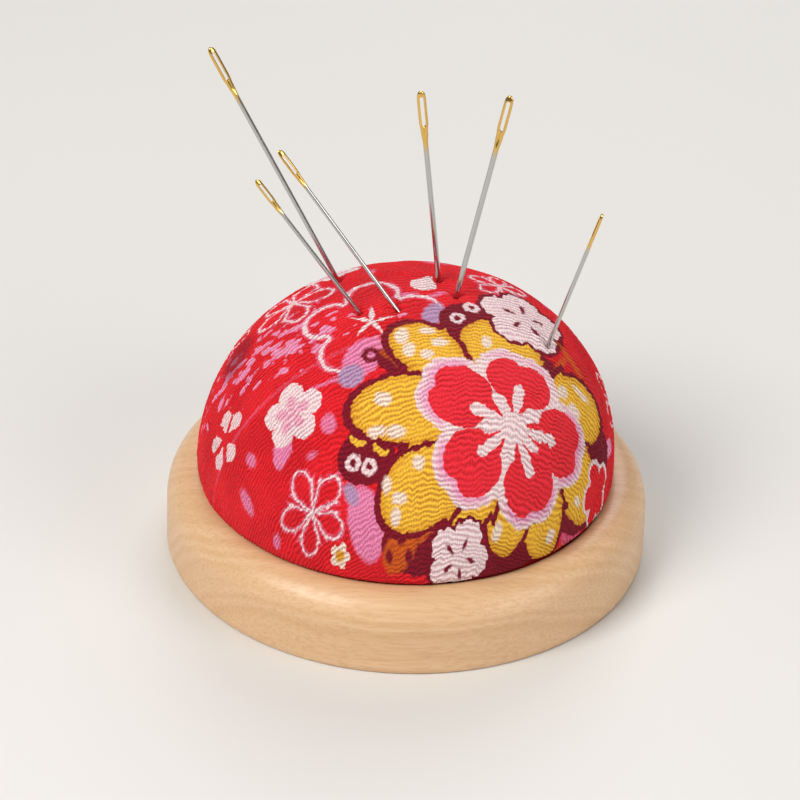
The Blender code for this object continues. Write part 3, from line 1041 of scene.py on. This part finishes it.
def dome_path(inset):
    """Dense (r, z) points from the apex, down the dome, in over the rim, down the seat and under."""
    points = []
    for i in range(DOME_STEPS + 1):
        angle = math.pi / 2 * (1 - i / DOME_STEPS)
        across = max(math.cos(angle), 0.0) ** (2 / DOME_FULLNESS)
        up = max(math.sin(angle), 0.0) ** (2 / DOME_FULLNESS)
        radius = (DOME["radius"] - inset) * across
        points.append((radius, DOME["waist"] + (DOME["top"] - DOME["waist"] - inset) * up))
    points[0] = (0.0, points[0][1])
    waist = DOME["radius"] - inset
    neck = waist - 2.0 * MM
    shoulder = DOME["rim"] + 0.12 * MM + inset / 2
    foot = DOME["foot"] + inset
    corner = 2.8 * MM - inset
    for i in range(1, 15):
        angle = math.pi / 2 * i / 15
        across = math.cos(angle) ** (2 / TUCK_FULLNESS)
        down = math.sin(angle) ** (2 / TUCK_FULLNESS)
        points.append((neck + (waist - neck) * across, DOME["waist"] - (DOME["waist"] - shoulder) * down))
    points += arc(neck + 0.2 * MM, shoulder - 0.6 * MM, 0.2 * MM, 0.6 * MM, 90, 180, 5)
    points += arc(neck - corner, foot + corner, corner, corner, 0, -90, 8)
    points.append((DOME["hem"], foot))
    return np.array(points)


def along_path(path, walked, at):
    """Points and outward normals (r, z) at given distances along a path."""
    nudge = 0.15 * MM
    heading = at_distance(path, walked, at + nudge) - at_distance(path, walked, at - nudge)
    heading /= np.linalg.norm(heading, axis=1)[:, None]
    return at_distance(path, walked, at), np.stack([-heading[:, 1], heading[:, 0]], axis=1)


def dome_entry(size):
    """Height above the needle's point at which the needle leaves the dome."""
    for z in np.arange(0.0, size["length"], 0.02 * MM):
        point = size["tip"] + size["axis"] * z
        away = math.hypot(point[0] - lean(point[2]), point[1]) / DOME["radius"]
        up = max(point[2] - DOME["waist"], 0.0) / (DOME["top"] - DOME["waist"])
        if away**DOME_FULLNESS + up**DOME_FULLNESS > 1:
            return z
    return 0.0


def simulate_cover(path, walked, reach):
    """Outward offsets, by row and column, of a stuffed dome of cloth drawn in at its hem."""
    at = np.linspace(0.0, reach, SIM_ROWS + 1)
    place, normal = along_path(path, walked, at)
    counts = [1] + [SIM_COLUMNS] * SIM_ROWS
    turns = [even_turns(SIM_COLUMNS)[:count] for count in counts]
    rest = spun(place, turns)
    outward = spun(normal, turns)
    ripple = lattice_noise(np.arctan2(rest[:, 1], rest[:, 0]) * 9 + 50, rest[:, 2] / (3 * MM) + 50, 5)
    start = (rest + outward * ripple[:, None] * 0.08 * MM) * SIM_SCALE
    cover = add_object("cover_simulation", ring_mesh("cover_simulation", counts, start))
    pinned = cover.vertex_groups.new(name="pinned")
    pinned.add(list(range(len(rest) - SIM_COLUMNS, len(rest))), 1.0, "REPLACE")
    slack = cover.vertex_groups.new(name="slack")
    row_of = np.repeat(np.arange(SIM_ROWS + 1), counts)
    weight = smooth((at[row_of] - (reach - SIM_SLACK_REACH)) / SIM_SLACK_REACH)
    for index, value in enumerate(weight):
        slack.add([index], float(value), "REPLACE")
    settings = cover.modifiers.new("cloth", "CLOTH").settings
    for name, value in CLOTH_SETTINGS.items():
        setattr(settings, name, value)
    settings.effector_weights.gravity = 0.0
    scene = bpy.context.scene
    for number in range(1, SIM_FRAMES + 1):
        scene.frame_set(number)
    evaluated = cover.evaluated_get(bpy.context.evaluated_depsgraph_get())
    end = np.array([v.co for v in evaluated.data.vertices]) / SIM_SCALE
    scene.frame_set(1)
    bpy.data.objects.remove(cover)
    moved = ((end - rest) * outward).sum(axis=1)
    rows = np.zeros((SIM_ROWS + 1, SIM_COLUMNS))
    rows[1:] = moved[1:].reshape(SIM_ROWS, SIM_COLUMNS)
    rows -= rows.mean(axis=1, keepdims=True)
    return np.clip(rows, -SIM_CAP, SIM_CAP)


def sampled(rows, row, column):
    """A table's values between its points by cubic interpolation. Columns go round."""
    def weights(share):
        return (
            -0.5 * share + share**2 - 0.5 * share**3,
            1 - 2.5 * share**2 + 1.5 * share**3,
            0.5 * share + 2 * share**2 - 1.5 * share**3,
            -0.5 * share**2 + 0.5 * share**3,
        )

    row_low = np.floor(row).astype(int)
    column_low = np.floor(column).astype(int)
    total = np.zeros(len(row))
    for i, row_weight in enumerate(weights(row - row_low)):
        for j, column_weight in enumerate(weights(column - column_low)):
            at_row = np.clip(row_low + i - 1, 0, rows.shape[0] - 1)
            at_column = (column_low + j - 1) % rows.shape[1]
            total += row_weight * column_weight * rows[at_row, at_column]
    return total


def crepe(u, v):
    """Phase and strength of the crepe's slanting ridges at flat cloth millimetres (u, v)."""
    slant = 0.0035 * u * u - 0.32 * u
    drift = 1.1 * lattice_noise(u / 9 + 40, v / 7 + 40, 11)
    drift += 0.45 * lattice_noise(u / 2.9 + 80, v / 3.4 + 80, 12)
    zigzag = 0.38 * lattice_noise(u / 0.85 + 120, v / 2.2 + 120, 13)
    strength = 0.78 + 0.42 * lattice_noise(u / 4.2 + 160, v / 3.1 + 160, 14)
    return (v + slant + drift + zigzag) / CREPE_PITCH, strength


def ring_places(total, fine_until):
    """Distances along the path for rings: close together where the cloth shows, then wider."""
    places = [0.0]
    steps = []
    step = FINE_STEP
    while places[-1] + step < total:
        steps.append(step)
        places.append(places[-1] + step)
        if places[-1] > fine_until:
            step = min(step * STEP_GROWTH, COARSE_STEP)
    steps.append(step)
    places[-1] = total
    return np.array(places), np.array(steps)


def ring_layout(place, steps):
    """Vertices in each ring of a shell, and each vertex's ring and turn."""
    counts = [1 if r < TINY else max(6, round(math.tau * r / step)) for (r, _), step in zip(place, steps)]
    turn = np.concatenate([even_turns(count) for count in counts])
    return counts, np.repeat(np.arange(len(counts)), counts), turn


def hem_folds(turn, s, fine_until):
    """Height of the gathers under the card, at a turn and a distance s along the cloth."""
    folds = np.cos(turn * HEM_FOLDS + 2.0 * lattice_noise(turn * 3, turn * 0, 21))
    return HEM_FOLD_HEIGHT * folds * smooth((s - fine_until - 6 * MM) / (8 * MM))


def dimple(points, size):
    """How far one needle presses the cloth in, with a slight swelling round it."""
    height_on_axis = (points - size["tip"]) @ size["axis"]
    away = np.linalg.norm(points - size["tip"] - np.outer(height_on_axis, size["axis"]), axis=1)
    near = (height_on_axis > 0) & (height_on_axis < size["length"])
    gap = np.maximum(away - size["shaft"], 0.0) / DIMPLE_WIDTH
    return near * DIMPLE_DEPTH * np.exp(-2.2 * gap), near * 0.10 * MM * np.exp(-((gap - 1.6) ** 2) * 3.0)


def cover_outside(sizes, walked, path):
    """The cloth's outer face: ring counts, points, flat coordinates and the ridges' phase and strength."""
    fine_until = walked[DOME_STEPS] + TUCK_LENGTH
    offsets = np.zeros((2, SIM_COLUMNS))
    offsets = simulate_cover(path, walked, fine_until)
    at, steps = ring_places(walked[-1], fine_until)
    place, normal = along_path(path, walked, at)
    counts, ring_of, turn = ring_layout(place, steps)
    s = at[ring_of]
    x, y = np.cos(turn), np.sin(turn)
    u, v = s / MM * x, s / MM * y
    phase, strength = crepe(u, v)
    strength *= smooth((fine_until - s) / (1.5 * MM))
    lift = -CREPE_HEIGHT * np.cos(math.tau * phase) * strength
    row = np.clip(s / fine_until, 0.0, 1.0) * (offsets.shape[0] - 1)
    fade = smooth((fine_until + 4 * MM - s) / (6 * MM))
    lift += sampled(offsets, row, turn / math.tau * SIM_COLUMNS) * fade
    lift += hem_folds(turn, s, fine_until)
    r, z = place[ring_of].T
    points = np.stack([r * x + lean(z), r * y, z], axis=1)
    out, up = normal[ring_of].T
    outward = np.stack([out * x, out * y, up], axis=1)
    on_dome = s < walked[DOME_STEPS]
    for size in sizes:
        pressed, swollen = dimple(points, size)
        lift -= on_dome * pressed
        lift += on_dome * swollen
    points += outward * lift[:, None]
    return counts, points, np.stack([u, v], axis=1), np.stack([phase, strength], axis=1)


def cover_inside(walked):
    """The cloth's inner face, from the hem to the apex: ring counts, points and flat coordinates."""
    fine_until = walked[DOME_STEPS] + TUCK_LENGTH
    path = dome_path(CLOTH_THICKNESS)
    total = walked_length(path)[-1]
    at = np.linspace(total, 0.0, round(total / COARSE_STEP) + 1)
    place, _ = along_path(path, walked_length(path), at)
    counts, ring_of, turn = ring_layout(place, np.full(len(place), COARSE_STEP))
    s = np.minimum(at[ring_of] * walked[-1] / total, walked[-1])
    r, z = place[ring_of].T
    x, y = np.cos(turn), np.sin(turn)
    points = np.stack([r * x + lean(z), r * y, z - hem_folds(turn, s, fine_until)], axis=1)
    return counts, points, np.stack([s / MM * x, s / MM * y], axis=1)


def make_cover(sizes, material):
    """The cloth: a closed shell with ridges, gathers, dimples at the needles and holes for them."""
    path = dome_path(0.0)
    walked = walked_length(path)
    counts, points, flat, relief = cover_outside(sizes, walked, path)
    inner_counts, inner_points, inner_flat = cover_inside(walked)
    mesh = ring_mesh("printed_cover", counts + inner_counts, np.concatenate([points, inner_points]))
    store_uv(mesh, "cloth", np.concatenate([flat, inner_flat]))
    store_uv(mesh, "relief", np.concatenate([relief, np.zeros((len(inner_points), 2))]))
    mesh = cut(mesh, channel_cutter(sizes, HOLE_CLEARANCE, 6 * MM, 3 * MM))
    mesh.name = "printed_cover"
    piece = add_piece("printed_cover", mesh, material, "cushion")
    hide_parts("cushion_cover")


def make_filling(sizes, material):
    """Wadding packed into the cover, lumpy as fibre is, with a channel for each needle."""
    low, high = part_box("cushion_filling")
    path = dome_path(DOME["top"] - high.z)
    path = path[path[:, 1] > low.z + 1.2 * MM]
    profile = even_path(np.concatenate([path, [(path[-1, 0] - 1.0 * MM, low.z), (0.0, low.z)]]), 1.0 * MM)
    mesh = turned_mesh("packed_wadding", profile, WADDING_SIDES)
    points = mesh_points(mesh)
    turn = np.arctan2(points[:, 1], points[:, 0])
    shrink = 1 - 0.008 * (1 + lattice_noise(turn * 11 + 60, points[:, 2] / (2.2 * MM) + 60, 31))
    shift = lean(points[:, 2])
    points[:, 2] = low.z + (points[:, 2] - low.z) * shrink
    points[:, :2] *= shrink[:, None]
    points[:, 0] += shift
    mesh.vertices.foreach_set("co", points.ravel())
    mesh = cut(mesh, channel_cutter(sizes, 0.3 * MM, 6 * MM, 38 * MM))
    piece = add_piece("packed_wadding", mesh, material, "cushion")
    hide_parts("cushion_filling")


# ---------------------------------------------------------------- base and hidden pieces


def make_base(material):
    """Turned base with a crowned rim, a softened lip and a seat for the cushion."""
    points = node_points("wooden_base")
    _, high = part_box("wooden_base")
    radius, height = high.x, high.z
    distance = np.hypot(points[:, 0], points[:, 1])
    seat = distance[points[:, 2] > TINY].min()
    floor = points[distance < seat + TINY, 2].min()
    wall = points[(distance > radius - TINY), 2].max()
    flat = distance[points[:, 2] > height - TINY]
    foot = 0.5 * MM
    profile = [(0.0, 0.0)]
    profile += arc(radius - foot, foot, foot, foot, -90, 0, 6)
    profile += arc(flat.max(), wall, radius - flat.max(), height - wall, 0, 90, 28)
    lip = flat.min() - seat
    profile += arc(flat.min(), height - lip, lip, lip, 90, 180, 8)
    profile += arc(seat - foot, floor + foot, foot, foot, 0, -90, 3)
    profile.append((0.0, floor))
    mesh = turned_mesh("turned_base", even_path(profile, 0.7 * MM), BASE_SIDES)
    piece = add_piece("turned_base", mesh, material, "cushion")
    mesh.set_sharp_from_angle(angle=SHARP_ANGLE)
    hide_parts("wooden_base")


def make_thread(material):
    """Two-ply gathering thread round the hem's opening, with its knot."""
    low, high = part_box("gathering_thread")
    centre = (low + high) / 2
    ring = (high.x - low.x) / 2 - 0.3 * MM
    bm = bmesh.new()
    for ply in (0.0, math.pi):
        add_tube(bm, [ply_point(ring, centre, ply, i) for i in range(PLY_STEPS)], PLY_RADIUS)
    add_tube(bm, [knot_point(ring, centre, i) for i in range(KNOT_STEPS)], 0.14 * MM)
    bmesh.ops.recalc_face_normals(bm, faces=bm.faces)
    mesh = mesh_from(bm, "twisted_thread")
    piece = add_piece("twisted_thread", mesh, material, "cushion")
    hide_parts("gathering_thread")


def ply_point(ring, centre, ply, i):
    """A point on one ply as it winds round the thread's own line."""
    turn = math.tau * i / PLY_STEPS
    twist = ply + PLY_TURNS * turn
    out = ring + PLY_OFFSET * math.cos(twist)
    return Vector((centre.x + out * math.cos(turn), centre.y + out * math.sin(turn),
                   centre.z + PLY_OFFSET * math.sin(twist)))


def knot_point(ring, centre, i):
    """A point on a small overhand knot at the front of the ring."""
    t = math.tau * i / KNOT_STEPS
    size = 0.15 * MM
    return Vector((
        centre.x + size * (math.sin(t) + 2 * math.sin(2 * t)) * 0.9,
        centre.y - ring + size * (math.cos(t) - 2 * math.cos(2 * t)) * 0.9,
        centre.z - size * math.sin(3 * t) * 1.2,
    ))


def add_tube(bm, line, radius, sides=6):
    """Adds a tube along a closed loop of points."""
    rings = []
    count = len(line)
    for i, point in enumerate(line):
        heading = (line[(i + 1) % count] - line[i - 1]).normalized()
        side = heading.cross(Vector((0, 0, 1)))
        side = side.normalized() if side.length > TINY else Vector((1, 0, 0))
        up = side.cross(heading)
        ring = []
        for k in range(sides):
            angle = math.tau * k / sides
            ring.append(bm.verts.new(point + radius * (math.cos(angle) * side + math.sin(angle) * up)))
        rings.append(ring)
    for i in range(count):
        here, there = rings[i], rings[(i + 1) % count]
        for k in range(sides):
            bm.faces.new((here[k], here[(k + 1) % sides], there[(k + 1) % sides], there[k]))


def make_glue(material):
    """Glue that spread unevenly under the hem."""
    low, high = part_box("glue_pad")
    radius = (high.x - low.x) / 2
    thick = high.z - low.z
    edge = thick / 2
    profile = even_path([(0.0, low.z), (radius - edge, low.z)]
                        + arc(radius - edge, low.z + edge, edge, edge, -90, 90, 10)
                        + [(0.0, high.z)], 1.1 * MM)
    mesh = turned_mesh("glue_spread", profile, GLUE_SIDES)
    points = mesh_points(mesh)
    turn = np.arctan2(points[:, 1], points[:, 0])
    away = np.hypot(points[:, 0], points[:, 1]) / radius
    wave = lattice_noise(np.cos(turn) * 3 + 9, np.sin(turn) * 3 + 9, 41)
    points[:, :2] *= (1 - 0.05 * (1 + wave) * away**2)[:, None]
    points[:, 0] += (low.x + high.x) / 2
    mesh.vertices.foreach_set("co", points.ravel())
    piece = add_piece("glue_spread", mesh, material, "cushion")
    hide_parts("glue_pad")


def dress_card(material):
    """The CAD card keeps its shape and gets a board finish."""
    card = frame["nodes"]["backing_card"]
    card.data.materials.clear()
    card.data.materials.append(material)


# ---------------------------------------------------------------- studio


def make_camera():
    """A long lens from in front and above, turned a little about its own axis."""
    rise = math.radians(CAMERA_ELEVATION)
    roll = math.radians(CAMERA_ROLL)
    back = Vector((0.0, -math.cos(rise), math.sin(rise)))
    right = Vector((1.0, 0.0, 0.0))
    up = Vector((0.0, math.sin(rise), math.cos(rise)))
    x_axis = right * math.cos(roll) + up * math.sin(roll)
    y_axis = up * math.cos(roll) - right * math.sin(roll)
    data = bpy.data.cameras.new("camera")
    data.lens = CAMERA_LENS
    data.sensor_width = 36.0
    data.clip_start = 0.01
    data.clip_end = 20.0
    camera = add_object("camera", data)
    turn = Matrix((x_axis, y_axis, back)).transposed().to_4x4()
    camera.matrix_world = Matrix.Translation(CAMERA_TARGET + back * CAMERA_DISTANCE) @ turn
    bpy.context.scene.camera = camera


def add_light(name, place, size, power, colour):
    """A soft square light that faces the cushion."""
    data = bpy.data.lights.new(name, "AREA")
    data.shape = "SQUARE"
    data.size = size
    data.energy = power
    data.color = colour
    light = add_object(name, data)
    light.location = place
    aim = Vector((0.0, 0.0, 0.025)) - Vector(place)
    light.rotation_euler = aim.to_track_quat("-Z", "Y").to_euler()


def make_studio():
    """Pale floor, soft lights and an even surround."""
    mesh = bpy.data.meshes.new("floor")
    half = FLOOR_SIZE / 2
    corners = [(-half, -half, 0), (half, -half, 0), (half, half, 0), (-half, half, 0)]
    mesh.from_pydata(corners, [], [(0, 1, 2, 3)])
    shader = Shader("pale_floor")
    tone = shader.noise(shader.millimetres(), 0.004, 2.0)
    shader.finish(shader.mix(tone, linear(214, 213, 211), linear(220, 219, 217)), 0.6)
    mesh.materials.append(shader.material)
    floor = add_object("floor", mesh)
    floor.location.z = -0.1 * MM
    add_light("key", (-0.42, -0.38, 0.62), 0.42, 6.0, (1.0, 0.97, 0.93))
    add_light("fill", (0.55, -0.35, 0.35), 0.45, 2.1, (1.0, 0.98, 0.95))
    add_light("back", (0.10, 0.60, 0.55), 0.50, 2.6, (1.0, 1.0, 1.0))
    world = bpy.data.worlds.new("surround")
    world.use_nodes = True
    background = world.node_tree.nodes["Background"]
    background.inputs["Color"].default_value = (0.84, 0.83, 0.82, 1.0)
    background.inputs["Strength"].default_value = 0.26
    bpy.context.scene.world = world
    bpy.context.scene.view_settings.view_transform = "Standard"


def build():
    """Makes every piece and the studio."""
    make_camera()
    make_studio()
    sizes = [measure_needle(name) for name in NEEDLE_NAMES]
    metal = needle_metal()
    for name, size in zip(NEEDLE_NAMES, sizes):
        make_needle(name, size, metal)
    make_base(turned_wood())
    make_glue(dried_glue())
    dress_card(paperboard())
    make_thread(cotton_thread())
    make_filling(sizes, wadding_fibre())
    make_cover(sizes, crepe_cloth())


build()
